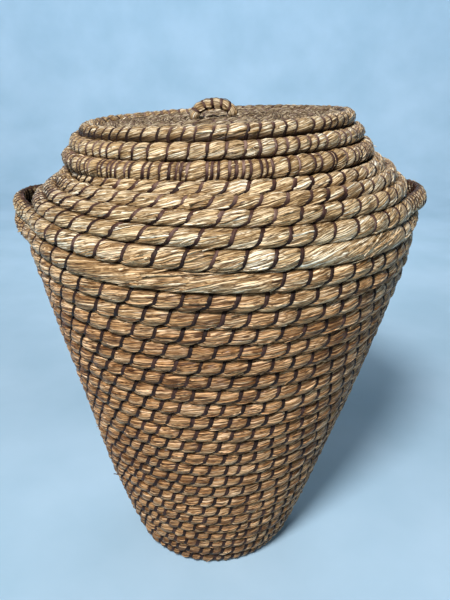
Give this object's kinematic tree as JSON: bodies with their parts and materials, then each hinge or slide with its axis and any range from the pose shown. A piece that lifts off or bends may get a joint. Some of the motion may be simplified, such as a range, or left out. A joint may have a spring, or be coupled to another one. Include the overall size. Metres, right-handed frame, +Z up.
{
  "type": "lidded coiled straw basket",
  "caption": "Tall round basket of stitched straw coil, tapering to its foot, with bowed side handles and a lift-off lid with a loop.",
  "frame": {"origin": "centre of the flat foot, on the ground", "axes": "+Z up through the mouth and the lid; the handles stand out at -X and +X; the lid's loop runs along X"},
  "size_m": [0.4436, 0.4004, 0.5135],
  "materials": {
    "straw": "satin",
    "weathered_straw": "matte",
    "splint": "satin"
  },
  "bodies": {
    "basket": {"base_centre": "straw", "base_coil_1": "straw", "base_coil_2": "straw", "base_coil_3": "straw", "wall_coil_01": "straw", "wall_coil_02": "straw", "wall_coil_03": "straw", "wall_coil_04": "straw", "wall_coil_05": "straw", "wall_coil_06": "straw", "wall_coil_07": "straw", "wall_coil_08": "straw", "wall_coil_09": "straw", "wall_coil_10": "straw", "wall_coil_11": "straw", "wall_coil_12": "straw", "wall_coil_13": "straw", "wall_coil_14": "straw", "wall_coil_15": "straw", "wall_coil_16": "straw", "wall_coil_17": "straw", "wall_coil_18": "straw", "wall_coil_19": "straw", "wall_coil_20": "straw", "wall_coil_21": "straw", "wall_coil_22": "straw", "wall_coil_23": "straw", "handle_coil_lower": "straw", "handle_coil_middle": "straw", "handle_coil_upper": "straw", "shoulder_coil_1": "straw", "shoulder_coil_2": "straw", "mouth_coil": "straw"},
    "lid": {"lid_side_coil_1": "straw", "lid_side_coil_2": "straw", "lid_rim_coil": "straw", "lid_top_coil_1": "weathered_straw", "lid_top_coil_2": "weathered_straw", "lid_top_coil_3": "weathered_straw", "lid_top_coil_4": "weathered_straw", "lid_top_coil_5": "weathered_straw", "lid_centre": "weathered_straw", "lid_loop": "straw", "loop_lashing_left": "splint", "loop_lashing_right": "splint"}
  },
  "joints": [
    {"name": "lid_lift", "type": "slide", "parent": "basket", "child": "lid", "axis": [0, 0, 1], "range_m": [0, 0.12]}
  ]
}
